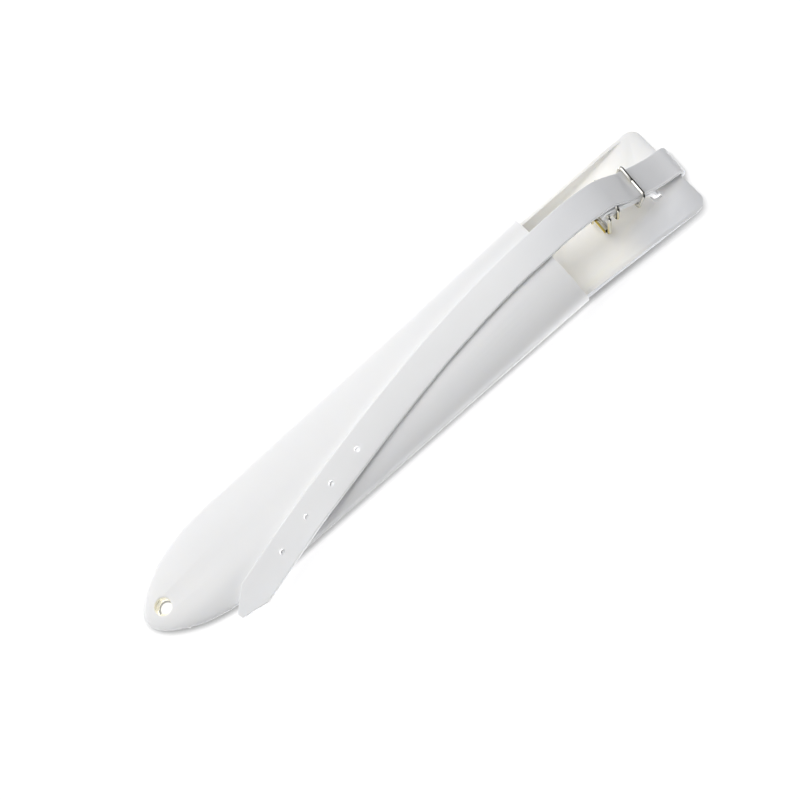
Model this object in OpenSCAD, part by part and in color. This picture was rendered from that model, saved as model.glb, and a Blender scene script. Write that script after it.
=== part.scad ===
// Knife blade guard: a flat two-part scabbard with an open back plate,
// a buckle strap threaded through the plate, and wire hardware.
// X runs from the tip to the plate, Z is up off the back face,
// and the origin is the axis of the hang hole on the back face.

/* [Scabbard] */
// Distance from the tip to the hang hole
tip_reach = 14.2; // [12:0.1:16]
// Distance from the hang hole to the mouth
mouth_x = 317.1; // [290:0.1:330]
// Width at the end of the rounded nose
nose_w = 64.8; // [62:0.1:67]
// Width at the mouth
mouth_w = 70; // [68:0.1:74]
// Length of the rounded nose
nose_len = 75; // [65:1:90]
// Thickness at the hang hole
hole_t = 7.8; // [7.2:0.1:9]
// Thickness at the mouth
mouth_t = 30.4; // [27:0.1:30.6]
// Height of the seam at the tip
seam_tip = 3.4; // [3:0.1:3.8]
// Height of the seam at the mouth
seam_mouth = 16; // [14:0.1:17]
// Wall of both shells
wall = 2.2; // [1.8:0.1:2.6]
// Where the hollow for the blade starts, from the tip
hollow_start = 28; // [27:1:32]
// Diameter of the hang hole
hang_d = 11; // [9:0.1:12]
// Radius of the soft rim of the hang hole
hang_rim = 1; // [0.6:0.1:1.2]

/* [Back plate] */
// Length of the open plate beyond the mouth
plate_len = 93.9; // [90:0.1:98]
// Width of the plate at the mouth
plate_mouth_w = 64.6; // [63:0.1:65]
// Width of the plate at its end
plate_end_w = 71.6; // [68:0.1:74]
// Rise of the underside at the end
plate_rise = 3.6; // [3.5:0.05:3.7]
// Height of the side lips at the mouth
lip_h = 14.6; // [12:0.1:15.5]
// Distance from the lip ends to the plate end
lip_back = 12; // [10:0.5:14]
// Corner radius of the plate end
corner_r = 8.5; // [6:0.5:10]
// Edge radius of the plate end
edge_r = 1.6; // [1.2:0.1:2]
// Distance from the slot to the plate end
slot_back = 20; // [19.8:0.1:20.4]
// Width of the strap slot along the guard
slot_w = 6; // [5.6:0.1:6.4]
// Clearance at each end of the strap slot
slot_clear = 2.1; // [1.9:0.1:2.6]

/* [Strap] */
// Width of the strap
strap_w = 21; // [20:0.1:21.4]
// Thickness of the strap
strap_t = 2.4; // [2.2:0.05:2.4]
// Diameter of the buckle holes
hole_d = 3.8; // [2.6:0.1:4.2]
// Spacing of the buckle holes
hole_pitch = 25.3; // [22:0.1:27]
// Distance from the point to the first hole
first_hole = 46.5; // [40:0.5:50]
// Number of buckle holes
hole_count = 4; // [3:1:7]
// Turn of the strap across the guard, degrees
strap_yaw = 4; // [3:0.1:4.5]

/* [Buckle] */
// Wire diameter of the buckle frame
frame_d = 2.7; // [2.5:0.1:2.8]
// Width of the buckle frame between wire centres
frame_w = 25; // [24.6:0.1:25.6]
// Distance from the heel bar to the roller
frame_len = 19; // [18.6:0.1:19.2]
// Lean of the hanging frame, degrees
frame_lean = 10; // [9:0.5:12]
// Diameter of the roller
roller_d = 5; // [4.8:0.05:5.1]
// Wire diameter of the prong
prong_d = 2.1; // [1.8:0.1:2.2]
// Running clearance of roller, prong and strap on the wire
running = 0.07; // [0.05:0.01:0.1]

/* [Keepers] */
// Wire diameter of the keepers
keeper_d = 2.5; // [2.3:0.1:2.6]
// Height of a keeper between wire centres
keeper_h = 11.3; // [11.1:0.1:11.8]
// Play of a keeper at each edge of the strap
keeper_play = 0.35; // [0.3:0.05:0.6]
// Lean of the idle keeper, degrees
idle_lean = 12; // [10:1:16]

/* [Hidden] */
$fn = 48;
gap = 0.3;
eps = 0.01;

tip_x = -tip_reach;
nose_end = tip_x + nose_len;
plate_x = mouth_x + plate_len;
lip_end = plate_x - lip_back;
slot_x = plate_x - slot_back;
slot_half = strap_w / 2 + slot_clear;
slot_corner = slot_w / 5;
crown_power = 2.3;
nose_power = 0.571;
round_over = 10;
side_round = 14.5;
arc_steps = 7;
crown_steps = 28;

// outline laws along the guard
function lerp(a, b, t) = a + (b - a) * t;
function unit(t) = min(max(t, 0), 1);
function ease(t) = unit(t) * unit(t) * (3 - 2 * unit(t));
function bulge(t, p) = pow(1 - pow(1 - unit(t), 2), p);
function body_half(x) = nose_w / 2 * bulge((x - tip_x) / nose_len, nose_power)
    + (mouth_w - nose_w) / 2 * unit((x - nose_end) / (mouth_x - nose_end));
function body_top(x) = lerp(hole_t, mouth_t, x / mouth_x);
function seam_z(x) = lerp(seam_tip, seam_mouth, (x - tip_x) / (mouth_x - tip_x));
function tip_round(x) = bulge((x - tip_x) / round_over, 0.5);
function hollow(x) = ease((x - tip_x - hollow_start) / 34);

// outline laws along the plate
function plate_t(x) = (x - mouth_x) / plate_len;
function plate_half(x) = lerp(plate_mouth_w, plate_end_w, plate_t(x)) / 2
    - corner_r + corner_r * sqrt(1 - pow(unit((x - plate_x + corner_r) / corner_r), 2) * 0.999);
function plate_base(x) = plate_rise * plate_t(x);
function lip_t(x) = unit((x - mouth_x) / (lip_end - mouth_x));
function lip_over(x) = (lip_h - wall) * ((1 - lip_t(x)) * 0.8 + 0.2 * sqrt(1 - pow(lip_t(x), 2)));
function plate_side(x) = lerp(7, edge_r, ease(plate_t(x) * 1.1));
function plate_bead(x) = sqrt(1 - pow(unit((x - plate_x + wall / 2) / (wall / 2)), 2) * 0.98);

// open cup section: half width, rim height, base height, side curve, as points from right to left
function cup(half, rim, base, side) = [
    for (k = [0:arc_steps]) let(a = 90 * k / arc_steps)
        [half - side + side * cos(a), rim - (rim - base) * sin(a)],
    for (k = [arc_steps:-1:0]) let(a = 90 * k / arc_steps)
        [-half + side - side * cos(a), rim - (rim - base) * sin(a)]];
function crown(half, base, high) = [
    for (k = [0:crown_steps]) let(a = 180 * k / crown_steps, c = cos(a))
        [half * sign(c) * pow(abs(c), 2 / crown_power), base + high * pow(sin(a), 2 / crown_power)]];
function spread(half, k, steps) = half - 2 * half * k / steps;
// inner rows: evenly spread along the seam where the shell is solid, and curved where it is hollow
function cup_in(half, rim, base, side, open) = let(c = cup(half, rim, base, side), n = len(c) - 1)
    [for (k = [0:n]) [lerp(spread(half, k, n), c[k][0], open), c[k][1]]];
function crown_in(half, base, high, open) = let(c = crown(half, base, high), n = len(c) - 1)
    [for (k = [0:n]) [lerp(spread(half, k, n), c[k][0], open), c[k][1]]];
function back(list) = [for (i = [len(list) - 1:-1:0]) list[i]];
function ring(x, section) = [for (p = section) [x, p[0], p[1]]];
function side_at(half) = min(side_round, half * 0.6);

function back_body(x) = let(
    half = body_half(x),
    seam = seam_z(x),
    base = seam - seam * tip_round(x),
    inner = half - wall * unit(half / wall / 3),
    floor_z = seam - (seam - wall) * hollow(x))
    ring(x, concat(cup(half, seam, base, side_at(half)),
        back(cup_in(inner, seam, floor_z, side_at(half) * 0.86, unit(hollow(x) * 8)))));
function back_plate(x) = let(
    half = plate_half(x),
    bead = plate_bead(x),
    mid = plate_base(x) + wall / 2,
    low = mid - wall / 2 * bead,
    high = mid + wall / 2 * bead,
    rim = high + lip_over(x))
    ring(x, concat(cup(half, rim, low, plate_side(x)),
        back(cup(half - wall, rim, high, plate_side(x) * 0.66))));
function front_body(x) = let(
    half = body_half(x),
    seam = seam_z(x),
    high = (body_top(x) - seam) * tip_round(x),
    inner = half - wall * unit(half / wall / 3),
    room = (body_top(x) - seam - wall) * hollow(x))
    ring(x, concat(crown(half, seam, high), back(crown_in(inner, seam, room, unit(hollow(x) * 8)))));

// joins rings into one closed solid; each ring is an outer row and an inner row of equal length,
// and mirrored is true where the rings run the other way round
module loft(rings, mirrored = false) {
    n = len(rings[0]);
    m = len(rings);
    h = n / 2;
    sides = [for (j = [0:m - 2], i = [0:n - 1]) let(k = (i + 1) % n)
        each [[j * n + i, j * n + n + i, j * n + k], [j * n + k, j * n + n + i, j * n + n + k]]];
    first = [for (i = [0:h - 2]) each i < h / 2
        ? [[i, i + 1, n - 1 - i], [i + 1, n - 2 - i, n - 1 - i]]
        : [[i, i + 1, n - 2 - i], [i, n - 2 - i, n - 1 - i]]];
    o = (m - 1) * n;
    last = [for (f = first) [f[0] + o, f[2] + o, f[1] + o]];
    faces = concat(sides, first, last);
    polyhedron([for (r = rings) each r], mirrored ? [for (f = faces) back(f)] : faces, convexity = 8);
}

nose_at = [0.3, 0.8, 1.5, 2.6, 4.2, 6, 8, 10, 14, 18, 23, 28, 34, 40, 46, 54, 64, 75];
body_x = concat([for (t = nose_at) tip_x + t * nose_len / 75],
    [for (k = [1:5]) lerp(nose_end, mouth_x, k / 5)]);
corner_at = [0.2, 0.45, 0.65];
bead_at = [1, 0.5, 0.15];
plate_stations = concat([mouth_x + 0.6], [for (k = [1:7]) lerp(mouth_x, lip_end, k / 7)],
    [plate_x - corner_r], [for (t = corner_at) plate_x - corner_r * (1 - t)],
    [for (t = bead_at) plate_x - t * wall / 2]);

module hang_bore() {
    rotate([0, 0, 7]) {
        translate([0, 0, -1])
            cylinder(d = hang_d, h = hole_t + 2);
        translate([0, 0, hole_t - hang_rim])
            rotate_extrude()
                difference() {
                    square([hang_d / 2 + hang_rim, hang_rim * 2]);
                    translate([hang_d / 2 + hang_rim, 0])
                        circle(r = hang_rim);
                }
    }
}

module strap_slot() {
    reach = [slot_w / 2 - slot_corner, slot_half - slot_corner];
    deep = wall + 6;
    translate([slot_x, 0, plate_rise - 3]) {
        for (s = [-1, 1], u = [-1, 1])
            translate([s * reach[0], u * reach[1], 0])
                cylinder(r = slot_corner, h = deep);
        translate([-reach[0], -slot_half, 0])
            cube([reach[0] * 2, slot_half * 2, deep]);
        translate([-slot_w / 2, -reach[1], 0])
            cube([slot_w, reach[1] * 2, deep]);
    }
}

module front_shell() {
    color([0.95, 0.95, 0.94])
        difference() {
            loft([for (x = body_x) front_body(x)]);
            hang_bore();
        }
}

module back_shell() {
    color([0.92, 0.92, 0.9])
        difference() {
            loft(concat([for (x = body_x) back_body(x)], [for (x = plate_stations) back_plate(x)]), true);
            hang_bore();
            strap_slot();
        }
}

// strap route beside the plate, as X and Z of its middle layer
bar_back = 32.1;
roller_clear = 0.3;
roller_x = slot_x - bar_back - sin(frame_lean) * frame_len;
bar = [slot_x - bar_back, plate_base(roller_x) + wall + roller_clear + roller_d / 2 + cos(frame_lean) * frame_len];
slope = 29;
along = [-cos(slope), sin(slope)];
up = [sin(slope), cos(slope)];
bar_r = frame_d / 2;
fold_r = bar_r + running + strap_t / 2;
layer = strap_t + gap;
function ply(s, lift) = bar + up * (fold_r + lift) - along * s;
hinge_s = 19.2;
heel_len = 27;
over_len = 17.5;
over_high = 8.1;
riser_in = 4.7;
riser_high = 8.4;
hinge = ply(hinge_s, layer);
keeper_s = 24.9;
keeper_top = strap_t / 2 + gap + keeper_d / 2;
idle_s = 5.4;
end_fold_r = wall / 2 + 0.2 + strap_t / 2;
end_fold = [plate_x - wall / 2 + sin(strap_yaw) * strap_w / 2, plate_rise + wall / 2];
under_z = end_fold[1] - end_fold_r;
turn_r = 1 + strap_t / 2;
slot_turn = [slot_x + slot_w / 2 - 0.3 - 0.4, 0.35 + strap_t + 1];
strap_y = 1.4;

function side_normal(p, i) = let(
    a = p[max(i - 1, 0)],
    b = p[min(i + 1, len(p) - 1)],
    d = b - a)
    [-d[1], d[0]] / norm(d);
module band(p) {
    polygon(concat([for (i = [0:len(p) - 1]) p[i] + side_normal(p, i) * strap_t / 2],
        back([for (i = [0:len(p) - 1]) p[i] - side_normal(p, i) * strap_t / 2])));
}
function curve(a, b, c, d, t) = 0.5 * (2 * b + (c - a) * t
    + (2 * a - 5 * b + 4 * c - d) * t * t + (3 * b - a - 3 * c + d) * t * t * t);
function on_path(p, s) = let(i = min(floor(s), len(p) - 2), n = len(p) - 1)
    curve(p[max(i - 1, 0)], p[i], p[i + 1], p[min(i + 2, n)], s - i);
function smooth(p, steps) = [for (k = [0:(len(p) - 1) * steps]) on_path(p, k / steps)];

// lays a profile drawn in X and Z across the guard at the strap's yaw
module across(width) {
    on_strap()
        rotate([90, 0, 0])
            linear_extrude(height = width, center = true)
                children();
}
module on_strap() {
    translate([slot_x, strap_y, 0])
        rotate([0, 0, -strap_yaw])
            translate([-slot_x, 0, 0])
                children();
}

function arc(c, r, from, to, steps) = [for (k = [0:steps])
    let(a = lerp(from, to, k / steps)) c + r * [cos(a), sin(a)]];

module strap_anchor() {
    over_run = [ply(hinge_s + strap_t / 2 + gap * 2, layer), ply(hinge_s * 1.31, layer),
        ply(hinge_s * 1.57, layer - 0.1), end_fold + [-over_len, over_high],
        end_fold + [-over_len * 0.657, over_high * 0.642],
        end_fold + [-over_len * 0.314, over_high * 0.42], end_fold + [0, end_fold_r]];
    under_run = [end_fold - [0, end_fold_r], [plate_x - over_len * 0.57, under_z - 0.35],
        slot_turn - [-1.5, turn_r], slot_turn - [0, turn_r]];
    riser = [slot_turn - [turn_r, 0], slot_turn + [-turn_r - riser_in * 0.09, riser_high * 0.286],
        slot_turn + [-turn_r - riser_in * 0.43, riser_high * 0.643], slot_turn + [-turn_r - riser_in, riser_high],
        ply(hinge_s * 4 / 3, 0), ply(hinge_s * 1.15, 0), ply(hinge_s * 0.94, 0)];
    heel_run = [ply(heel_len * 0.03, -fold_r * 2), ply(heel_len * 0.11, -fold_r * 2 + 0.6),
        ply(heel_len * 0.26, -layer - 0.3), ply(heel_len * 0.37, -layer), ply(heel_len, -layer)];
    color([0.82, 0.83, 0.85])
        difference() {
            across(strap_w)
                band(concat(smooth(over_run, 4), arc(end_fold, end_fold_r, 75, -75, 10),
                    smooth(under_run, 3), arc(slot_turn, turn_r, 255, 195, 4),
                    smooth(riser, 4), [ply(heel_len * 0.04, 0)], arc(bar, fold_r, 90 - slope, 270 - slope, 16), heel_run));
            prong_window();
        }
}

// slot in the fold that lets the prong round the heel bar
prong_room = prong_d + 1.1;
module prong_window() {
    on_strap()
        translate([bar[0], 0, bar[1]])
            rotate([0, -(90 - slope) + 90, 0])
                translate([-fold_r * 2, -prong_room / 2, -fold_r * 2 - 1])
                    cube([fold_r * 2 + 7, prong_room, fold_r * 4 + 2]);
}

// route of the loose end: X, Y, Z and sideways roll in degrees
tail_z = hinge[1];
tail_path = [[hinge[0], strap_y + (slot_x - hinge[0]) * tan(strap_yaw), tail_z, 0],
    [hinge[0] - 9.2, 3.2, tail_z + 8.6, 0], [hinge[0] - 16.4, 3.7, tail_z + 11.2, 0],
    [mouth_x + 29, 4.7, mouth_t + 2.7, 0], [mouth_x + 14, 5.4, mouth_t + 2.8, 0],
    [mouth_x, 5.5, mouth_t + 2.55, 0], [mouth_x - 24, 5.6, mouth_t + 0.26, 0],
    [mouth_x - 48, 4.4, mouth_t - 1.34, 0], [230, 0.8, 25.7, 0], [203, -3.1, 23.7, 0],
    [177.8, -7.1, 21.83, 0], [153.2, -11.6, 20.02, 0], [128.2, -16.5, 18.15, 0],
    [103.2, -21.6, 16.14, 0], [79.2, -27.2, 13.84, -1], [57.7, -32.4, 11.6, -2],
    [45.3, -35.4, 10.15, -2], [33.8, -38.5, 8.26, -2]];
tail_steps = 3;
tail_last = (len(tail_path) - 1);
function tail_at(s) = let(q = on_path(tail_path, s)) [q[0], q[1], q[2]];
function tail_dir(s) = let(d = tail_at(min(s + 0.02, tail_last)) - tail_at(max(s - 0.02, 0))) d / norm(d);
function tail_wide(s) = let(
    d = tail_dir(s),
    w = cross([0, 0, 1], d),
    w0 = w / norm(w),
    n = cross(d, w0),
    r = on_path(tail_path, s)[3])
    w0 * cos(r) + n * sin(r);
tail_rows = [for (k = [0:tail_last * tail_steps]) k / tail_steps];
tail_pts = [for (s = tail_rows) tail_at(s)];
function run_from(i) = i >= len(tail_pts) - 1 ? 0 : norm(tail_pts[i + 1] - tail_pts[i]) + run_from(i + 1);
tail_run = [for (i = [0:len(tail_pts) - 1]) run_from(i)];
point_len = 17;
point_half = 2;
function tail_half(run) = run > point_len ? strap_w / 2
    : lerp(point_half, strap_w / 2, pow(unit(run / point_len), 0.8));
function row_for(run, i) = i <= 0 || tail_run[i] >= run ? i : row_for(run, i - 1);
function tail_s(run) = let(i = row_for(run, len(tail_pts) - 1))
    (i + (tail_run[i] - run) / (tail_run[i] - tail_run[i + 1])) / tail_steps;
function slab(p, w, n, half, t) = [p - w * half - n * t, p + w * half - n * t,
    p + w * half + n * t, p - w * half + n * t];

module strap_tail() {
    rows = concat([for (s = tail_rows) if (s < tail_last - 1.5) s],
        [for (run = [point_len, 13, 9, 5, 2, 0]) run == 0 ? tail_last : tail_s(run)]);
    first_dir = tail_dir(0);
    pitch = atan2(first_dir[2], -first_dir[0]);
    color([0.84, 0.85, 0.87])
        difference() {
            union() {
                loft([for (s = rows) let(
                    w = tail_wide(s),
                    n = cross(tail_dir(s), w),
                    run = s >= tail_last ? 0 : lerp(tail_run[floor(s * tail_steps + eps / 9)],
                        tail_run[min(floor(s * tail_steps + eps / 9) + 1, len(tail_run) - 1)],
                        s * tail_steps - floor(s * tail_steps + eps / 9)))
                    slab(tail_at(s), w, n, tail_half(run), strap_t / 2)]);
                translate([tail_path[0][0], tail_path[0][1], tail_path[0][2]])
                    rotate([90, 0, -strap_yaw])
                        cylinder(d = strap_t, h = strap_w, center = true);
            }
            for (k = [0:hole_count - 1])
                let(s = tail_s(first_hole + k * hole_pitch), d = tail_dir(s), w = tail_wide(s))
                    translate(tail_at(s))
                        rotate([0, asin(d[2]), atan2(d[1], d[0]) + 180])
                            rotate([-on_path(tail_path, s)[3], 0, 0])
                                cylinder(d = hole_d, h = strap_t * 3, center = true);
        }
}

// closed rectangle of round wire in the Y-Z plane, centred on its top bar, hanging down
module wire_loop(half, high, r, bend) {
    for (s = [-1, 1]) {
        translate([0, s * half, -high + bend])
            cylinder(r = r, h = high - bend * 2);
        translate([0, s * (half - bend), -bend])
            rotate([90, 0, 90])
                rotate([0, 0, s > 0 ? 0 : 90])
                    rotate_extrude(angle = 90)
                        translate([bend, 0])
                            circle(r = r);
        translate([0, s * (half - bend), -high + bend])
            rotate([90, 0, 90])
                rotate([0, 0, s > 0 ? 270 : 180])
                    rotate_extrude(angle = 90)
                        translate([bend, 0])
                            circle(r = r);
    }
    for (z = [0, -high])
        translate([0, -half + bend, z])
            rotate([-90, 0, 0])
                cylinder(r = r, h = (half - bend) * 2);
}

// places children on the strap at a run from the heel bar and a height over the middle layer
module at_ply(s, lift, lean) {
    p = ply(s, lift);
    on_strap()
        translate([p[0], 0, p[1]])
            rotate([0, lean, 0])
                children();
}

keeper_half = strap_w / 2 + keeper_play + keeper_d / 2;
module keeper_wire() {
    difference() {
        wire_loop(keeper_half, keeper_h, keeper_d / 2, 2);
        cube([keeper_d * 2, 0.3, keeper_d * 2], center = true);
    }
}

module tail_keeper() {
    color([0.45, 0.44, 0.4])
        at_ply(keeper_s, layer + keeper_top, slope)
            keeper_wire();
}

module buckle_keeper() {
    color([0.45, 0.44, 0.4])
        at_ply(idle_s, keeper_top, idle_lean)
            keeper_wire();
}

module at_bar() {
    on_strap()
        translate([bar[0], 0, bar[1]])
            rotate([0, frame_lean, 0])
                children();
}

module buckle_frame() {
    color([0.5, 0.49, 0.45])
        at_bar()
            wire_loop(frame_w / 2, frame_len, bar_r, 2);
}

roller_len = frame_w - 4 - 0.6;
module buckle_roller() {
    color([0.62, 0.6, 0.5])
        at_bar()
            translate([0, 0, -frame_len])
                rotate([90, 0, 0])
                    difference() {
                        cylinder(d = roller_d, h = roller_len, center = true);
                        cylinder(r = bar_r + running, h = roller_len + 2, center = true);
                    }
}

prong_r = bar_r + running + prong_d / 2;
prong_over = roller_d / 2 + prong_d / 2 + gap;
prong_len = frame_len + 1;
module buckle_prong() {
    tilt = atan2(prong_over - prong_r, frame_len);
    color([0.5, 0.49, 0.45])
        at_bar() {
            rotate([90, 0, 0])
                rotate_extrude()
                    translate([prong_r, 0])
                        circle(d = prong_d);
            translate([-prong_r, 0, 0])
                rotate([0, 180 + tilt, 0]) {
                    cylinder(d = prong_d - 0.1, h = prong_len);
                    translate([0, 0, prong_len])
                        sphere(d = prong_d - 0.1);
                }
        }
}

front_shell();
back_shell();
strap_anchor();
strap_tail();
buckle_frame();
buckle_roller();
buckle_prong();
tail_keeper();
buckle_keeper();
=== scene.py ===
import math

import bmesh
import bpy
from mathutils import Matrix, Vector


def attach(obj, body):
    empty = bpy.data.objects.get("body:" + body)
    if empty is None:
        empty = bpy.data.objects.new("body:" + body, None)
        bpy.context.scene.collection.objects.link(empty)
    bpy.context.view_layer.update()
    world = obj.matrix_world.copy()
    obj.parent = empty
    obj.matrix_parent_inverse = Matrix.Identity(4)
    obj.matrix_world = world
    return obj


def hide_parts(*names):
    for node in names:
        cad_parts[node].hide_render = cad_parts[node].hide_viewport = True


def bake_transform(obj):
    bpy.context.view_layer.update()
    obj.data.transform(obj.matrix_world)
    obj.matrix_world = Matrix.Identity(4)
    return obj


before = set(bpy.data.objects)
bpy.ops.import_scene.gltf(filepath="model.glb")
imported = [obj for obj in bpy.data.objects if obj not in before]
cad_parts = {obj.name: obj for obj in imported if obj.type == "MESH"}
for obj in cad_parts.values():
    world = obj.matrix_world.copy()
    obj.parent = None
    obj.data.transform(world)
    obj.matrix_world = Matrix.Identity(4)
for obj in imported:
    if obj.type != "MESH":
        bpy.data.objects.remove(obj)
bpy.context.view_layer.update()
mm = 0.001
black, white = (0, 0, 0), (1, 1, 1)
print("frame loaded")


class Sock:  # a node's output, so that shader maths reads as plain expressions
    def __init__(self, tree, socket):
        self.tree = tree
        self.socket = socket

    def maths(self, operation, *others):
        node = self.tree.nodes.new("ShaderNodeMath")
        node.operation = operation
        for i, value in enumerate((self,) + others):
            if isinstance(value, Sock):
                self.tree.links.new(value.socket, node.inputs[i])
            else:
                node.inputs[i].default_value = value
        return Sock(self.tree, node.outputs[0])

    def __add__(self, other):
        return self.maths("ADD", other)

    def __mul__(self, other):
        return self.maths("MULTIPLY", other)

    def __sub__(self, other):
        return self.maths("SUBTRACT", other)

    def __rsub__(self, other):
        return (self * -1.0) + other

    def __pow__(self, other):
        return self.maths("POWER", other)

    __radd__ = __add__
    __rmul__ = __mul__


class Finish:  # a material or a world, built node by node
    def __init__(self, name, kind="materials"):
        self.material = getattr(bpy.data, kind).new(name)
        self.material.use_nodes = True
        self.tree = self.material.node_tree
        self.tree.nodes.clear()

    def add(self, kind, settings=None, inputs=None, out=0):
        node = self.tree.nodes.new(kind)
        for key, value in (settings or {}).items():
            if key == "stops":
                ramp = node.color_ramp
                while len(ramp.elements) < len(value):
                    ramp.elements.new(0.5)
                for element, (place, colour) in zip(ramp.elements, value):
                    element.position = place
                    element.color = (*colour, 1)
            else:
                setattr(node, key, value)
        for key, value in (inputs or {}).items():
            if isinstance(value, Sock):
                self.tree.links.new(value.socket, node.inputs[key])
            else:
                node.inputs[key].default_value = value
        return Sock(self.tree, node.outputs[out]) if len(node.outputs) else node

    def place(self):
        return self.add("ShaderNodeTexCoord", out=3)

    def axis(self, i, vector=None):
        return self.add("ShaderNodeSeparateXYZ", {}, {"Vector": vector or self.place()}, i)

    def vectorMaths(self, operation, *vectors):  # a length or a dot product is a number, the rest are vectors
        out = 1 if operation in ("LENGTH", "DOT_PRODUCT") else 0
        return self.add("ShaderNodeVectorMath", {"operation": operation}, dict(enumerate(vectors)), out)

    def noise(self, scale, detail=2.0, rough=0.5):
        return self.add("ShaderNodeTexNoise", {}, {"Vector": self.place(), "Scale": scale,
                                                   "Detail": detail, "Roughness": rough})

    def mix(self, factor, a, b):
        node = self.tree.nodes.new("ShaderNodeMix")
        node.data_type = "RGBA"
        for key, value in ((0, factor), (6, a), (7, b)):
            if isinstance(value, Sock):
                self.tree.links.new(value.socket, node.inputs[key])
            else:
                node.inputs[key].default_value = value if key == 0 else (*value, 1)
        return Sock(self.tree, node.outputs[2])

    def fade(self, value, span):  # 0 at the span's first number, 1 at its second
        return self.add("ShaderNodeMapRange", {"interpolation_type": "SMOOTHSTEP"},
                        {"Value": value, "From Min": span[0], "From Max": span[1]})

    def tone(self, channel=None):  # the painted light and shade on the mesh, or one channel of it
        if channel is None:
            return self.add("ShaderNodeAttribute", {"attribute_name": "tone"}, out=2)
        painted = self.add("ShaderNodeAttribute", {"attribute_name": "tone"})
        return self.add("ShaderNodeSeparateColor", {}, {"Color": painted}, channel)

    def shade(self, inputs):
        shader = self.add("ShaderNodeBsdfPrincipled", {}, inputs)
        self.add("ShaderNodeOutputMaterial", {}, {"Surface": shader})
        return self.material


# white moulded plastic; spans are in metres along the guard (X) and across it (Y)
plastic = {"colour": (0.875, 0.877, 0.88), "shade": (0.85, 0.853, 0.86), "clouds": 18.0,
           "rough": 0.42, "roughSpread": 0.16, "flows": 60.0,
           "grain": 900.0, "bump": 0.06, "bumpDepth": 0.0002,
           "through": 0.3, "depth": 0.003, "radius": (1.0, 0.94, 0.82),
           # painted light: the plate's trough by the mouth is paler, warmer and glows a little
           "paintedTroughLight": (0.92, 0.912, 0.885), "paintedTroughLightX": (0.415, 0.365), "mouthX": (0.3165, 0.3175),
           "paintedTroughGlow": 0.13, "paintedTroughGlowY": (-0.030, -0.018), "glowTint": (1, 0.98, 0.93),
           # painted light: the crown's top near the nose is paler, as if more brightly lit
           "nose": (0.945, 0.943, 0.943), "noseX": (0.30, 0.18), "noseY": (-0.022, -0.010),
           # painted shadow: the plate on the -Y side of the strap is darker and bluer, where the strap's
           # shadow falls
           "dim": (0.70, 0.71, 0.735), "dimX": (0.348, 0.375), "dimY": (-0.008, -0.019),
           # painted shade: the lip's outer side, away from the light, is darker and bluer
           "side": (0.66, 0.67, 0.70),
           # painted light: the hang hole's bore is beige and glows a little, for light bounced inside the
           # plastic
           "paintedBoreLight": (0.93, 0.90, 0.76), "boreR": (0.0059, 0.0057), "paintedBoreGlow": 0.11}


def makePlastic():
    f = Finish("shellPlastic")
    cloud = f.noise(plastic["clouds"], 3.0)
    grain = f.noise(plastic["grain"], 2.0, 0.6)
    flow = f.noise(plastic["flows"])
    x, y = f.axis(0), f.axis(1)
    # painted light: the trough by the mouth is paler and warmer
    paintedTroughLight = f.fade(x, plastic["paintedTroughLightX"]) * f.fade(x, plastic["mouthX"])
    # painted light: the top near the nose is paler
    nose = f.fade(x, plastic["noseX"]) * f.fade(y, plastic["noseY"])
    # painted shadow of the strap on the plate
    dim = f.fade(x, plastic["dimX"]) * f.fade(y, plastic["dimY"])
    # painted light in the hang hole's bore
    fromHole = f.vectorMaths("LENGTH", f.vectorMaths("MULTIPLY", f.place(), (1, 1, 0)))
    paintedBoreLight = f.fade(fromHole, plastic["boreR"])
    colour = f.mix(cloud, plastic["colour"], plastic["shade"])
    # the lip's outer side takes its painted shade from the mesh
    for mask, tint in ((paintedTroughLight, "paintedTroughLight"), (nose, "nose"), (dim, "dim"), (f.tone(), "side"), (paintedBoreLight, "paintedBoreLight")):
        colour = f.mix(mask, colour, plastic[tint])
    # painted glow in the trough by the mouth and in the hang hole's bore
    glow = paintedTroughLight * f.fade(y, plastic["paintedTroughGlowY"]) * plastic["paintedTroughGlow"] + paintedBoreLight * plastic["paintedBoreGlow"]
    bump = f.add("ShaderNodeBump", {}, {"Strength": plastic["bump"], "Distance": plastic["bumpDepth"],
                                        "Height": grain + cloud * 2.0})
    return f.shade({"Base Color": colour, "Normal": bump, "IOR": 1.5,
                    "Roughness": plastic["rough"] + (flow - 0.5) * plastic["roughSpread"],
                    "Emission Color": f.mix(glow, black, plastic["glowTint"]), "Emission Strength": 1.0,
                    "Subsurface Weight": plastic["through"], "Subsurface Scale": plastic["depth"],
                    "Subsurface Radius": plastic["radius"]})


# soft grey strap, with painted light making it paler where it runs free over the crown, and painted highlights
# on one cut edge, in the holes and on the riser
vinyl = {"colour": (0.755, 0.76, 0.775), "shade": (0.73, 0.735, 0.752), "clouds": 35.0,
         "rough": 0.36, "roughSpread": 0.2, "scuffs": 90.0,
         "grain": 1400.0, "bump": 0.08, "bumpDepth": 0.0001,
         "through": 0.35, "depth": 0.002, "radius": (0.9, 0.95, 1.0),
         "free": (0.85, 0.853, 0.86), "freeX": (0.345, 0.28),
         "cut": (0.94, 0.94, 0.945), "paintedEdgeGlow": 0.42,
         "paintedRiserGlow": 0.3, "riseZ": (0.0122, 0.0108), "riseFrom": (0.382, 0.386), "riseTo": (0.3935, 0.3925)}


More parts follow.
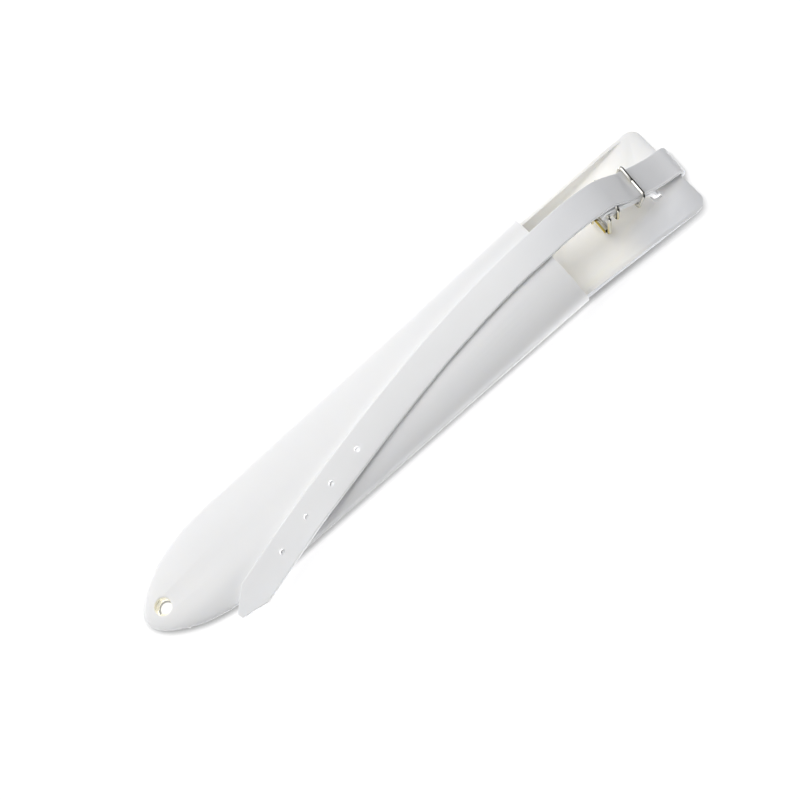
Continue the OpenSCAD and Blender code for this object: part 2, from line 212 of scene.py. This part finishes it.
def makeVinyl():
    f = Finish("strapVinyl")
    cloud = f.noise(vinyl["clouds"], 3.0)
    grain = f.noise(vinyl["grain"])
    # painted highlight: paler and glowing on the strap's lit edge and in its holes
    cut = f.tone()
    x, z = f.axis(0), f.axis(2)
    # painted light: the riser, where the strap comes up through the slot, glows
    paintedRiserLight = f.fade(z, vinyl["riseZ"]) * f.fade(x, vinyl["riseFrom"]) * f.fade(x, vinyl["riseTo"])
    # painted light: paler where the strap runs free over the crown
    colour = f.mix(f.fade(x, vinyl["freeX"]), f.mix(cloud, vinyl["colour"], vinyl["shade"]), vinyl["free"])
    glow = cut * vinyl["paintedEdgeGlow"] + paintedRiserLight * vinyl["paintedRiserGlow"]
    bump = f.add("ShaderNodeBump", {}, {"Strength": vinyl["bump"], "Distance": vinyl["bumpDepth"],
                                        "Height": grain})
    return f.shade({"Base Color": f.mix(cut, colour, vinyl["cut"]), "Normal": bump, "IOR": 1.5,
                    "Roughness": vinyl["rough"] + (f.noise(vinyl["scuffs"]) - 0.5) * vinyl["roughSpread"],
                    "Emission Color": f.mix(glow, black, white), "Emission Strength": 1.0,
                    "Subsurface Weight": vinyl["through"], "Subsurface Scale": vinyl["depth"],
                    "Subsurface Radius": vinyl["radius"]})


# bright plated wire with a little tarnish, and painted dark and golden reflections and a painted highlight
nickel = {"colour": (0.88, 0.875, 0.85), "tarnish": (0.80, 0.76, 0.62),
          "patches": 160.0, "patchSpan": (0.35, 0.75),
          "rough": 0.05, "roughSpread": 0.06, "scratches": 2500.0, "bump": 0.05, "bumpDepth": 0.0001,
          "paintedDarkReflection": (0.02, 0.02, 0.022), "paintedGoldReflection": (0.80, 0.62, 0.10), "paintedHighlightGlow": 0.6, "paintedHighlightTint": (1, 1, 0.98)}


def makeNickel():
    f = Finish("nickelWire")
    cloud = f.noise(nickel["patches"], 3.0)
    low, high = nickel["patchSpan"]
    patch = f.add("ShaderNodeValToRGB", {"stops": [(low, black), (high, white)]}, {"Fac": cloud})
    # painted dark and golden reflections and a glowing painted highlight, read from the mesh
    paintedDarkReflection, paintedGoldReflection, paintedHighlight = f.tone(0), f.tone(1), f.tone(2)
    colour = f.mix(patch, nickel["colour"], nickel["tarnish"])
    colour = f.mix(paintedDarkReflection, f.mix(paintedGoldReflection, colour, nickel["paintedGoldReflection"]), nickel["paintedDarkReflection"])
    bump = f.add("ShaderNodeBump", {}, {"Strength": nickel["bump"], "Distance": nickel["bumpDepth"],
                                        "Height": f.noise(nickel["scratches"])})
    return f.shade({"Base Color": colour, "Metallic": 1.0, "Normal": bump,
                    "Roughness": nickel["rough"] + cloud * nickel["roughSpread"],
                    "Emission Color": f.mix(paintedHighlight * nickel["paintedHighlightGlow"], black, nickel["paintedHighlightTint"]),
                    "Emission Strength": 1.0})


shellPlastic = makePlastic()
strapVinyl = makeVinyl()
nickelWire = makeNickel()
print("finishes made")


def smooth01(value, low, high):
    t = min(1, max(0, (value - low) / (high - low)))
    return t * t * (3 - 2 * t)


# paints light and shade onto the mesh, corner by corner
def paintShading(bm, colourOf):  # colourOf takes a face and one of its corners
    layer = bm.loops.layers.float_color.new("tone")
    for face in bm.faces:
        for loop in face.loops:
            loop[layer] = (*colourOf(face, loop), 1)


def closedEdges(bm, ring):
    return [bm.edges.get((a, b)) or bm.edges.new((a, b)) for a, b in zip(ring, ring[1:] + ring[:1])]


def finishPiece(bm, name, body, material, sharp):
    for edge in bm.edges:
        edge.smooth = len(edge.link_faces) < 2 or edge.calc_face_angle(0) < math.radians(sharp)
    for face in bm.faces:
        face.smooth = True
    mesh = bpy.data.meshes.new(name)
    bm.to_mesh(mesh)
    bm.free()
    mesh.materials.append(material)
    piece = bpy.data.objects.new(name, mesh)
    bpy.context.collection.objects.link(piece)
    if body:
        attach(piece, body)
    return piece


clean = {"merge": 0.005, "sliver": 0.002, "flat": 0.3}  # millimetres and degrees


def polished(node, name, body, material, sharp, paint, width=0):  # width rounds the sharp edges
    bm = bmesh.new()
    bm.from_mesh(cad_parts[node].data)
    bmesh.ops.remove_doubles(bm, verts=bm.verts, dist=clean["merge"] * mm)
    bmesh.ops.dissolve_degenerate(bm, edges=bm.edges, dist=clean["sliver"] * mm)
    if width:
        bmesh.ops.dissolve_limit(bm, angle_limit=math.radians(clean["flat"]), verts=bm.verts, edges=bm.edges)
        sharpEdges = [e for e in bm.edges
                      if len(e.link_faces) == 2 and e.calc_face_angle(0) > math.radians(sharp)]
        bmesh.ops.bevel(bm, geom=sharpEdges, offset=width * mm, segments=3, profile=0.5, affect="EDGES",
                        clamp_overlap=True, material=-1)
    if paint:
        paint(bm)
    piece = finishPiece(bm, name, body, material, sharp)
    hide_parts(node)
    return piece


# millimetres, from the hang hole
shell = {"noseX": -13.9, "mouthX": 317.1, "plateX": 411.0, "plateRise": 3.6, "wall": 2.2,
         "edge": 0.35, "sharp": 40,  # rounding of the edges sharper than this many degrees
         "crownZ": 7.8, "crownRise": 22.6, "fullness": 2.3,  # the crown's height and how boxy its section is
         "seamNoseZ": 3.4, "seamMouthZ": 16.0,
         "noseLen": 75, "noseHalf": 32.4,  # the oval nose
         "flareFrom": 61, "flareLen": 256, "flare": 2.6,  # and how the outline widens behind it
         "lipFacing": -0.4}
bead = {"inset": 0.8, "radius": 1.1, "mouthRadius": 0.3, "taper": (316, 290), "lift": 0.1, "sides": 12,
        "near": 0.03, "least": 2,  # how close to the parting line and how far off centre a point has to be
        "noseEnd": 20, "middle": 150}


def seamZ(x):
    along = (x - shell["noseX"]) / (shell["mouthX"] - shell["noseX"])
    return shell["seamNoseZ"] + (shell["seamMouthZ"] - shell["seamNoseZ"]) * along


def crownZ(x, y):  # top of the shell at a place
    x = min(x, shell["mouthX"])
    t = min(1, (x - shell["noseX"]) / shell["noseLen"])
    flare = max(0, min(1, (x - shell["flareFrom"]) / shell["flareLen"]))
    half = shell["noseHalf"] * (1 - (1 - t) ** 2) ** 0.5 + shell["flare"] * flare
    low = seamZ(x)
    top = shell["crownZ"] + shell["crownRise"] * x / shell["mouthX"]
    return low + (top - low) * (1 - min(1, abs(y) / half) ** shell["fullness"]) ** (1 / shell["fullness"])


def seamPath():  # from the mouth to the nose and back, by the front shell's points on the parting line
    half = {}
    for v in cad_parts["front_shell"].data.vertices:
        x, y, z = v.co / mm
        if abs(z - seamZ(x)) < bead["near"]:
            key = round(x, 1)
            half[key] = max(half.get(key, 0), abs(y))
    side = [Vector((x, -half[x], seamZ(x))) for x in sorted(half, reverse=True) if half[x] > bead["least"]]
    return side + [Vector((p.x, -p.y, p.z)) for p in reversed(side)]


def addBead(bm):  # moulded bead along the parting line, where the halves meet
    path = seamPath()
    rings = []
    for i, p in enumerate(path):
        forward = (path[min(i + 1, len(path) - 1)] - path[max(i - 1, 0)]).normalized()
        out = forward.cross(Vector((0, 0, 1))).normalized()
        outward = out.y * p.y if p.x > bead["noseEnd"] else out.dot(Vector((p.x - bead["middle"], p.y, 0)))
        out = out if outward > 0 else -out
        centre = p - out * bead["inset"] + Vector((0, 0, bead["lift"]))
        r = bead["mouthRadius"] + (bead["radius"] - bead["mouthRadius"]) * smooth01(p.x, *bead["taper"])
        turns = [2 * math.pi * k / bead["sides"] for k in range(bead["sides"])]
        points = [centre + out * r * math.cos(a) + Vector((0, 0, r)) * math.sin(a) for a in turns]
        rings.append(closedEdges(bm, [bm.verts.new(point * mm) for point in points]))
    made = []
    for a, b in zip(rings, rings[1:]):
        made += bmesh.ops.bridge_loops(bm, edges=a + b)["faces"]
    for ring in (rings[0], rings[-1]):
        made += bmesh.ops.contextual_create(bm, geom=ring)["faces"]
    bmesh.ops.recalc_face_normals(bm, faces=made)


def paintedLipShade(face, corner):  # painted shade on the outer side of the lip, away from the light
    middle = face.calc_center_median()
    onLip = middle.x > shell["mouthX"] * mm and middle.y < 0 and face.normal.y < shell["lipFacing"]
    return white if onLip else black


def dressBack(bm):
    addBead(bm)
    bm.normal_update()
    paintShading(bm, paintedLipShade)


frontShell = polished("front_shell", "frontShell", "scabbard", shellPlastic, shell["sharp"], None,
                      shell["edge"])
backShell = polished("back_shell", "backShell", "scabbard", shellPlastic, shell["sharp"], dressBack,
                     shell["edge"])
print("shells made")

# millimetres; a ply is one layer of the strap where it slopes up from the plate to the buckle's heel bar
strap = {"width": 21.0, "thick": 2.4, "edge": 0.5, "fill": [0.92, 0.6, 0.2, -0.2, -0.6, -0.92],
         "paintedEdgeLight": 0.25, "sharp": 40,
         "yaw": 4.0, "slotX": 391.0, "slotY": 1.4, "slotReach": 2.3, "underPlate": 0.35,
         "barX": -32.1, "barZ": 25.187, "slope": 29, "barR": 1.35, "running": 0.07, "gap": 0.3,
         "hingeRun": 19.2, "keeperRun": 24.9,
         "foldShift": (-0.4, 0.9), "foldGap": 1.1, "turnGap": 1,  # at the plate's end and at its slot
         "overPlate": [(-18.6, 7.4), (-12.6, 5.2), (-6.6, 3.9)],  # back from the plate's end, up from the fold
         "riser": [(-0.35, 2.4), (-1.9, 5.4), (-4.7, 8.4)], "riserRuns": (25.6, 22, 18),  # from the slot up
         "prongCut": (11.5, 3.2, 10), "prongShift": 0.2,
         "holeD": 3.8, "holePitch": 25.3, "firstHole": 46.5, "holes": 4, "holeSides": 32, "holeSlack": 0.1,
         "pointLen": 17.0, "pointHalf": 2.0,
         "dipMost": 2.2, "dipShare": 0.85, "dipMouth": (345, 318), "dipPoint": (100, 190)}
thick = strap["thick"]
slotX = strap["slotX"]
bar = Vector((slotX + strap["barX"], strap["barZ"]))
slope = math.radians(strap["slope"])
along = Vector((-math.cos(slope), math.sin(slope)))
upward = Vector((math.sin(slope), math.cos(slope)))
heelR = strap["barR"] + strap["running"] + thick / 2
plyStep = thick + strap["gap"]


def ply(run, lift):  # run down the slope from the heel bar, lift above the first layer
    return bar + upward * (heelR + lift) - along * run


def onStrap(x, y, z):  # strap lane to guard: the lane is turned about the slot
    a = math.radians(-strap["yaw"])
    dx = x - slotX
    return Vector((slotX + dx * math.cos(a) - y * math.sin(a),
                   strap["slotY"] + dx * math.sin(a) + y * math.cos(a), z))


def curvePoint(p, s):  # smooth curve through the points p
    i = min(int(s), len(p) - 2)
    t = s - i
    a, b, c, d = p[max(i - 1, 0)], p[i], p[i + 1], p[min(i + 2, len(p) - 1)]
    return 0.5 * (2 * b + (c - a) * t + (2 * a - 5 * b + 4 * c - d) * t * t + (3 * b - a - 3 * c + d) * t ** 3)


def smoothRow(p, steps):
    return [curvePoint(p, k / steps) for k in range((len(p) - 1) * steps + 1)]


def arcRow(centre, r, a0, a1, steps):
    turns = [math.radians(a0 + (a1 - a0) * k / steps) for k in range(steps + 1)]
    return [centre + r * Vector((math.cos(a), math.sin(a))) for a in turns]


def drape(p, place):  # the loose strap sags over the crown across its width, between the mouth and its point
    dip = min(strap["dipMost"], max(0, crownZ(place.x, place.y) - crownZ(place.x, p.y)))
    where = smooth01(place.x, *strap["dipMouth"]) * smooth01(place.x, *strap["dipPoint"])
    return -dip * strap["dipShare"] * where


def bandSection(half):  # corner points and fill points of a section, half its width to each side
    t, e = thick / 2, strap["edge"]
    section = []
    for sx, sz, turn in ((1, -1, -90), (1, 1, 0), (-1, 1, 90), (-1, -1, 180)):
        for k in range(4):
            a = math.radians(turn + 30 * k)
            section.append((sx * (half - e) + e * math.cos(a), sz * (t - e) + e * math.sin(a)))
        if sx == sz:
            section += [(sx * (half - e) * j, sz * t) for j in strap["fill"]]
    return section


def ribbon(stations, name, body, paintedEdgeLight, sag=None):  # each station: place, forward, across, half width
    bm = bmesh.new()
    rows, paintedHighlight = [], {}
    for place, forward, across, half in stations:
        normal = forward.cross(across).normalized()
        section = bandSection(half)
        points = [place + across * u + normal * v for u, v in section]
        if sag:
            points = [p + Vector((0, 0, sag(p, place))) for p in points]
        rows.append([bm.verts.new(p * mm) for p in points])
        # a painted highlight along the strap's edge on the -Y side
        bright = -1 if across.y > 0 else 1
        for vert, (u, v) in zip(rows[-1], section):
            paintedHighlight[vert] = paintedEdgeLight if u * bright > half - strap["edge"] - 0.01 else 0.0
        closedEdges(bm, rows[-1])
    for a, b in zip(rows, rows[1:]):
        bmesh.ops.bridge_loops(bm, edges=closedEdges(bm, a) + closedEdges(bm, b))
    for ring in (rows[0], rows[-1]):
        bmesh.ops.contextual_create(bm, geom=closedEdges(bm, ring))
    bmesh.ops.recalc_face_normals(bm, faces=bm.faces)
    paintShading(bm, lambda face, corner: (paintedHighlight[corner.vert],) * 3)
    return finishPiece(bm, name, body, strapVinyl, strap["sharp"])


def laneStations(row, half):  # a row of side-view points in the strap lane, flat across
    across = onStrap(slotX, 1, 0) - onStrap(slotX, 0, 0)
    out = []
    for i, p in enumerate(row):
        a, b = row[max(i - 1, 0)], row[min(i + 1, len(row) - 1)]
        forward = (onStrap(b.x, 0, b.y) - onStrap(a.x, 0, a.y)).normalized()
        out.append((onStrap(p.x, 0, p.y), forward, across, half))
    return out


def cutWith(piece, bm):
    cutterMesh = bpy.data.meshes.new("cutter")
    bm.to_mesh(cutterMesh)
    bm.free()
    cutter = bpy.data.objects.new("cutter", cutterMesh)
    bpy.context.collection.objects.link(cutter)
    modifier = piece.modifiers.new("cut", "BOOLEAN")
    modifier.operation = "DIFFERENCE"
    modifier.solver = "EXACT"
    modifier.object = cutter
    depsgraph = bpy.context.evaluated_depsgraph_get()
    mesh = bpy.data.meshes.new_from_object(piece.evaluated_get(depsgraph))
    piece.modifiers.remove(modifier)
    old = piece.data
    piece.data = mesh
    bpy.data.meshes.remove(old)
    bpy.data.objects.remove(cutter)


# the fixed length: over the plate's end, under it, up through the slot, round the heel bar and back
plateX, wall = shell["plateX"], shell["wall"]
endFold = Vector((plateX - wall / 2 + math.sin(math.radians(strap["yaw"])) * strap["width"] / 2,
                  shell["plateRise"] + wall / 2))
endFold += Vector(strap["foldShift"])
endFoldR = wall / 2 + strap["foldGap"] + thick / 2
turnR = strap["turnGap"] + thick / 2
slotTurn = Vector((slotX + strap["slotReach"], strap["underPlate"] + thick + strap["turnGap"]))
overRun = ([ply(strap["keeperRun"], plyStep), ply(strap["hingeRun"] + 11, plyStep - 0.1)]
           + [Vector((plateX + x, endFold.y + z)) for x, z in strap["overPlate"]]
           + [endFold + Vector((0, endFoldR))])
underRun = [endFold - Vector((0, endFoldR)), Vector((plateX - 10, 1.8)),
            slotTurn - Vector((-1.5, turnR)), slotTurn - Vector((0, turnR))]
riser = ([slotTurn - Vector((turnR, 0))] + [Vector((slotX + x, slotTurn.y + z)) for x, z in strap["riser"]]
         + [ply(run, 0) for run in strap["riserRuns"]])
heelArc = arcRow(bar, heelR, 90 - strap["slope"], 90 - strap["slope"] + 180, steps=18)
backPly = [heelArc[-1], ply(0.8, -heelR * 2), ply(3, -heelR * 2 + 0.8), ply(7, -thick - 0.4),
           ply(10, -thick + 0.1), ply(27, -thick + 0.1)]  # the strap's own end, back under itself
fixedRow = smoothRow(overRun, steps=5)[:-1]
fixedRow += arcRow(endFold, endFoldR, 90, -90, steps=14)
fixedRow += smoothRow(underRun, steps=4)[1:-1]
fixedRow += arcRow(slotTurn, turnR, 270, 180, steps=6)
fixedRow += smoothRow(riser, steps=5)[1:] + [ply(9, 0)]
fixedRow += heelArc + smoothRow(backPly, steps=3)[1:]
strapFixed = ribbon(laneStations(fixedRow, strap["width"] / 2), "strapFixed", "scabbard", strap["paintedEdgeLight"])
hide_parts("strap_anchor")

prongCut = bmesh.new()  # the opening that lets the prong out round the heel bar
bmesh.ops.create_cube(prongCut, size=1)
for v in prongCut.verts:
    p = Vector([size * c for size, c in zip(strap["prongCut"], v.co)])
    p.x += strap["prongShift"]
    v.co = onStrap(bar.x + p.x * math.cos(slope) + p.z * math.sin(slope), p.y,
                   bar.y - p.x * math.sin(slope) + p.z * math.cos(slope)) * mm
cutWith(strapFixed, prongCut)

# the free length, in millimetres, from the keeper over the mouth and down the crown
tail = {"lean": 0.07, "fromHinge": [(-9.2, 3.2, 7.1), (-16.8, 3.7, 10.9)], "mouthTop": 30.4,
        "fromMouth": [(29, 4.7, 2.6), (14, 5.4, 2.3), (0, 5.5, 1.65), (-24, 5.6, -0.22), (-48, 4.4, -1.94)],
        "onCrown": [(230, 0.8, 25.6, 0), (203, -3.1, 23.7, 0), (177.8, -7.1, 21.83, 0),
                    (153.2, -11.6, 20.02, 0), (128.2, -16.5, 18.15, 0), (103.2, -21.6, 16.14, 0),
                    (79.2, -27.2, 13.84, -1), (57.7, -32.4, 11.6, -2), (45.3, -35.4, 10.15, -2),
                    (33.8, -38.5, 8.26, -2)],  # the fourth value is the roll in degrees
        "steps": 60, "stride": 10, "endStride": 5, "ahead": 3}  # stations per stretch, kept, and looked ahead
keeper = ply(strap["keeperRun"], plyStep)
hinge = ply(strap["hingeRun"], plyStep)
tailPath = [Vector((p.x, strap["slotY"] + (slotX - p.x) * tail["lean"], p.y, 0)) for p in (keeper, hinge)]
tailPath += [Vector((hinge.x + x, y, hinge.y + z, 0)) for x, y, z in tail["fromHinge"]]
tailPath += [Vector((shell["mouthX"] + x, y, tail["mouthTop"] + z, 0)) for x, y, z in tail["fromMouth"]]
tailPath += [Vector(p) for p in tail["onCrown"]]
fine = [curvePoint(tailPath, k / tail["steps"]) for k in range((len(tailPath) - 1) * tail["steps"] + 1)]
finePlace = [q.xyz for q in fine]
fineRun = [0.0] * len(fine)  # length of strap from each place to the point
for k in range(len(fine) - 2, -1, -1):
    fineRun[k] = fineRun[k + 1] + (finePlace[k + 1] - finePlace[k]).length


def nearestRun(run):
    return min(range(len(fine)), key=lambda k: abs(fineRun[k] - run))


def tailFrame(k):
    after, before = min(k + tail["ahead"], len(fine) - 1), max(k - tail["ahead"], 0)
    forward = (finePlace[after] - finePlace[before]).normalized()
    side = Vector((0, 0, 1)).cross(forward).normalized()
    normal = forward.cross(side)
    roll = math.radians(fine[k].w)
    across = side * math.cos(roll) + normal * math.sin(roll)
    half = strap["width"] / 2
    if fineRun[k] < strap["pointLen"]:
        half = strap["pointHalf"] + (half - strap["pointHalf"]) * fineRun[k] / strap["pointLen"]
    return finePlace[k], forward, across, half


shoulder = nearestRun(strap["pointLen"] + 0.05)  # where the strap begins to narrow to its point
lastSpan = len(fine) - tail["steps"]
picks = {*range(0, lastSpan, tail["stride"]), *range(lastSpan, len(fine), tail["endStride"]),
         len(fine) - 1, shoulder, shoulder + 1}
strapLoose = ribbon([tailFrame(k) for k in sorted(picks)], "strapLoose", None, 0.0, drape)

punch = bmesh.new()
holeR = strap["holeD"] / 2
holeAxes = []
for h in range(strap["holes"]):
    place, forward, across, half = tailFrame(nearestRun(strap["firstHole"] + h * strap["holePitch"]))
    normal = forward.cross(across)
    holeAxes.append((place * mm, normal))
    turn = Matrix((forward, across, normal)).transposed().to_4x4()
    bmesh.ops.create_cone(punch, cap_ends=True, segments=strap["holeSides"], radius1=holeR * mm,
                          radius2=holeR * mm, depth=8 * mm, matrix=Matrix.Translation(place * mm) @ turn)
cutWith(strapLoose, punch)
tones = strapLoose.data.attributes["tone"].data
for polygon in strapLoose.data.polygons:  # the holes' walls get the full painted edge highlight too
    corners = [strapLoose.data.vertices[v].co for v in polygon.vertices]
    farthest = max(min((co - centre).cross(n).length for centre, n in holeAxes) for co in corners)
    if farthest < (holeR + strap["holeSlack"]) * mm:
        for corner in polygon.loop_indices:
            tones[corner].color = (*white, 1)
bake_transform(strapLoose)
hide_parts("strap_tail")
print("strap made")

# each painted reflection or highlight: a direction, and how squarely a face points that way where it starts
# and where it is full
wire = {"keeper": {"paintedDarkReflection": [((0.85, 0.35, 0.25), 0.45, 0.7), ((-0.95, -0.1, -0.1), 0.85, 0.96),
                            ((0.1, -0.75, 0.6), 0.8, 0.92)],
                   "paintedGoldReflection": [((-0.6, -0.6, -0.4), 0.75, 0.95)], "paintedHighlight": [], "paintedGoldBelow": 1, "paintedDarkSpots": []},
        "frame": {"paintedDarkReflection": [((0.85, 0.35, 0.25), 0.8, 0.95), ((0.1, -0.85, 0.4), 0.86, 0.96)],
                  "paintedGoldReflection": [((-0.85, -0.3, 0.3), 0.85, 0.97)], "paintedHighlight": [], "paintedGoldBelow": 0.009,
                  "paintedDarkSpots": [((355.0, -8.0, 6.3), 2.8)]},
        "roller": {"paintedDarkReflection": [((0, -1, 0), 0.6, 0.9)], "paintedGoldReflection": [((-0.97, 0, 0.24), 0.45, 0.65)],
                   "paintedHighlight": [((-0.25, 0, 0.97), 0.84, 0.95)], "paintedGoldBelow": 0.02, "paintedDarkSpots": []}}


def facing(normal, sides):
    levels = [smooth01(normal.dot(Vector(way).normalized()), low, high) for way, low, high in sides]
    return max(levels, default=0)


def paintReflections(bm, look):  # painted reflections: dark where the wire would mirror the unlit room, golden on the given sides, with a painted highlight
    def colourOf(face, corner):
        co, normal = corner.vert.co, corner.vert.normal
        paintedDarkReflection, paintedGoldReflection, paintedHighlight = (facing(normal, look[key]) for key in ("paintedDarkReflection", "paintedGoldReflection", "paintedHighlight"))
        # a painted dark reflection round a spot on the frame's bend
        for spot, reach in look["paintedDarkSpots"]:
            paintedDarkReflection = max(paintedDarkReflection, smooth01((co / mm - Vector(spot)).length, reach, reach - 1))
        return paintedDarkReflection, paintedGoldReflection if co.z <= look["paintedGoldBelow"] else 0, paintedHighlight

    bm.normal_update()
    paintShading(bm, colourOf)


def wirePiece(node, name, body, look, sharp=60):
    return polished(node, name, body, nickelWire, sharp, lambda bm: paintReflections(bm, wire[look]))


buckleFrame = wirePiece("buckle_frame", "buckleFrame", "buckle", "frame")
buckleRoller = wirePiece("buckle_roller", "buckleRoller", "roller", "roller", 40)
buckleProng = wirePiece("buckle_prong", "buckleProng", "prong", "keeper")
keeperOne = wirePiece("tail_keeper", "tailKeeper", "keeper_one", "keeper")
keeperTwo = wirePiece("buckle_keeper", "buckleKeeper", "keeper_two", "keeper")
print("hardware made")

# metres; the camera sees the floor dimmer than it lights the object, with a contact shadow
stage = {"size": 4, "drop": 0.0001,
         "floor": (0.85, 0.85, 0.85), "seen": (0.4, 0.4, 0.4), "lift": (0.75, 0.75, 0.75),
         "shadow": [(0.15, (0.26, 0.22, 0.20)), (0.5, (0.46, 0.415, 0.40)), (0.92, white)], "reach": 0.0056,
         "holeR": (0.0046, 0.0036), "far": (0.8, 1.6),
         "near": (0.66, 0.66, 0.67), "glow": 1.25,
         "middle": (0.2, 0, 0), "nearX": (0.22, 0.30), "nearY": (0.04, 0.12)}


def makeFloor():
    f = Finish("paleFloor")
    seen = f.add("ShaderNodeLightPath")
    hold = f.add("ShaderNodeAmbientOcclusion", {"samples": 8}, {"Distance": stage["reach"]}, 1)
    tone = f.add("ShaderNodeValToRGB", {"stops": stage["shadow"]}, {"Fac": hold})
    fromHole = f.vectorMaths("LENGTH", f.place())
    # no painted contact shadow under the hang hole, where the floor shows white
    tone = f.mix(f.fade(fromHole, stage["holeR"]), tone, white)
    far = f.fade(fromHole, stage["far"])
    dim = f.mix(far, f.mix(tone, black, stage["seen"]), black)
    matt = f.add("ShaderNodeBsdfDiffuse", {}, {"Color": f.mix(seen, stage["floor"], dim)})
    lift = f.add("ShaderNodeEmission", {}, {"Color": f.mix(far, f.mix(tone, black, stage["lift"]), white)})
    spot = f.vectorMaths("ABSOLUTE", f.vectorMaths("SUBTRACT", f.place(), stage["middle"]))
    clear = f.fade(f.axis(0, spot), stage["nearX"]).maths("MAXIMUM", f.fade(f.axis(1, spot), stage["nearY"]))
    glow = f.add("ShaderNodeEmission", {}, {"Color": f.mix(clear, stage["near"], white),
                                            "Strength": stage["glow"]})
    extra = f.add("ShaderNodeMixShader", {}, {0: seen, 1: glow, 2: lift})
    both = f.add("ShaderNodeAddShader", {}, {0: matt, 1: extra})
    f.add("ShaderNodeOutputMaterial", {}, {"Surface": both})
    return f.material


floorBm = bmesh.new()
bmesh.ops.create_grid(floorBm, x_segments=1, y_segments=1, size=stage["size"],
                      matrix=Matrix.Translation((0, 0, -stage["drop"])))
floorMesh = bpy.data.meshes.new("floor")
floorBm.to_mesh(floorMesh)
floorBm.free()
floorMesh.materials.append(makeFloor())
floor = bpy.data.objects.new("floor", floorMesh)
bpy.context.collection.objects.link(floor)

# each lobe: the direction its light comes from, how narrow it is and how strong
dome = {"base": 0.02, "lobes": [((0, 0, 1), 3, 0.15), ((0, 0.71, 0.71), 3, 0.65), ((-0.71, 0, 0.71), 3, 0.6),
                                ((0.71, 0, 0.71), 3, 0.05)]}


def makeDome():  # soft light from every side, stronger from a few, and plain white to the camera
    f = Finish("studio", "worlds")
    look = f.add("ShaderNodeTexCoord")
    level = None
    for toward, power, gain in dome["lobes"]:
        lobe = (f.vectorMaths("DOT_PRODUCT", look, toward).maths("MAXIMUM", 0.0) ** power) * gain
        level = lobe + dome["base"] if level is None else level + lobe
    light = f.add("ShaderNodeBackground", {}, {"Color": (1, 1, 1, 1), "Strength": level})
    plain = f.add("ShaderNodeBackground", {}, {"Color": (1, 1, 1, 1), "Strength": 1.0})
    both = f.add("ShaderNodeMixShader", {}, {0: f.add("ShaderNodeLightPath"), 1: light, 2: plain})
    f.add("ShaderNodeOutputWorld", {}, {"Surface": both})
    return f.material


bpy.context.scene.world = makeDome()

# metres and watts
lamps = {"key": {"place": (0.05, 0.75, 1.3), "target": (0.2, 0, 0), "size": (1.3, 1.3), "power": 11.0},
         "fill": {"place": (0.3, -0.5, 1.4), "target": (0.2, 0, 0), "size": (0.9, 0.6), "power": 0.8},
         "rim": {"place": (0.35, -1.1, 0.20), "target": (0.2, 0, 0.01), "size": (1.4, 0.14), "power": 0.3}}
for name, lamp in lamps.items():
    data = bpy.data.lights.new(name, "AREA")
    data.shape = "RECTANGLE"
    data.size, data.size_y = lamp["size"]
    data.energy = lamp["power"]
    light = bpy.data.objects.new(name, data)
    bpy.context.collection.objects.link(light)
    light.location = lamp["place"]
    aim = Vector(lamp["target"]) - Vector(lamp["place"])
    light.rotation_euler = aim.to_track_quat("-Z", "Y").to_euler()

# millimetres; roll in radians, focal length in pixels of an 800 pixel frame
camera = {"place": (188.0, -480.8, 1172.1), "target": (191.8, 2.6, 0.0), "roll": 0.721,
          "focal": 2066.0, "pixels": 800, "sensor": 36, "clip": (0.01, 20)}
bpy.context.scene.view_settings.view_transform = "Standard"
eye = Vector(camera["place"])
aim = (Vector(camera["target"]) - eye).normalized()
level = aim.cross(Vector((0, 1, 0))).normalized()
dip = aim.cross(level)
rollCos, rollSin = math.cos(camera["roll"]), math.sin(camera["roll"])
right, down = rollCos * level + rollSin * dip, -rollSin * level + rollCos * dip
cameraData = bpy.data.cameras.new("camera")
cameraData.lens = camera["focal"] / camera["pixels"] * camera["sensor"]
cameraData.sensor_width = camera["sensor"]
cameraData.clip_start, cameraData.clip_end = camera["clip"]
sceneCamera = bpy.data.objects.new("camera", cameraData)
bpy.context.collection.objects.link(sceneCamera)
sceneCamera.matrix_world = Matrix.Translation(eye * mm) @ Matrix((right, -down, -aim)).transposed().to_4x4()
bpy.context.scene.camera = sceneCamera
print("stage set")
